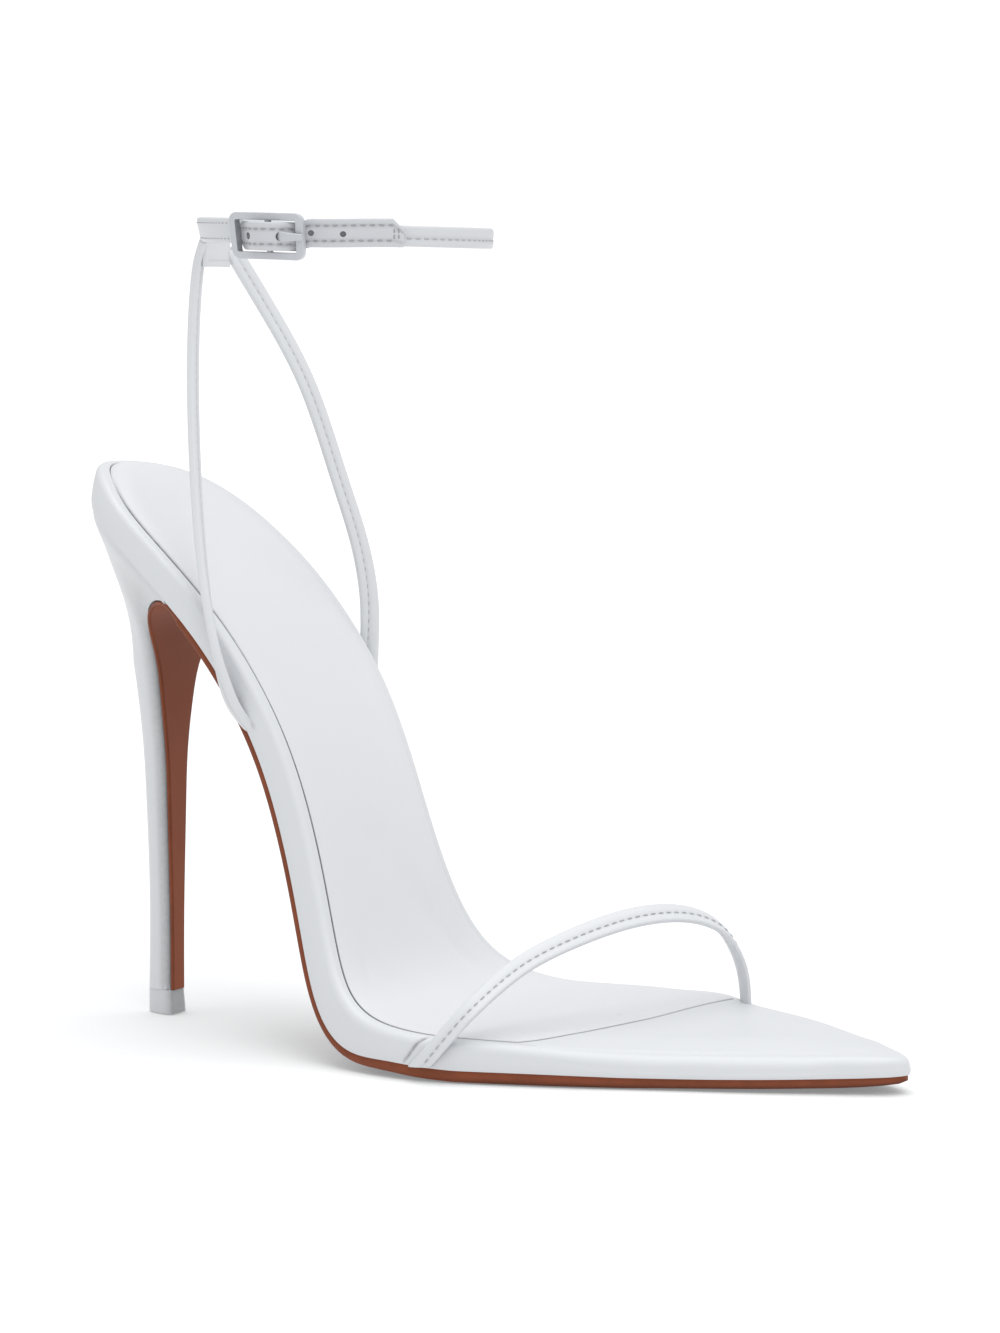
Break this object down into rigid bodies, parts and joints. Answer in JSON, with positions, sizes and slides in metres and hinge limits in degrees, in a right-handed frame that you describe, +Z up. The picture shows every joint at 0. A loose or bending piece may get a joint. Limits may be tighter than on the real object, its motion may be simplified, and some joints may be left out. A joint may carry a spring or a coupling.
{
  "type": "ankle strap high heel sandal",
  "caption": "Pointed white leather sandal for a right foot, on a slim stiletto heel, with a toe strap, slingback straps and a buckled ankle strap.",
  "frame": {"origin": "middle of the shoe's box on the floor", "axes": "+X from the heel to the toe, +Y to the inner (medial) side, +Z up from the floor the heel and forefoot stand on"},
  "size_m": [0.203, 0.0812, 0.1825],
  "materials": {
    "white_leather": "smooth, satin",
    "sock_leather": "smooth, soft satin",
    "sole_leather": "polished brown",
    "top_piece_plastic": "greyish white, matte",
    "buckle_paint": "white paint, satin"
  },
  "bodies": {
    "root": {"outsole": "sole_leather", "heel": "white_leather", "top_piece": "top_piece_plastic", "footbed": "white_leather", "insole": "sock_leather", "toe_strap": "white_leather", "sling_straps": "white_leather", "ankle_strap": "white_leather", "ankle_billet": "white_leather", "buckle_frame": "buckle_paint", "buckle_prong": "buckle_paint"}
  },
  "joints": []
}
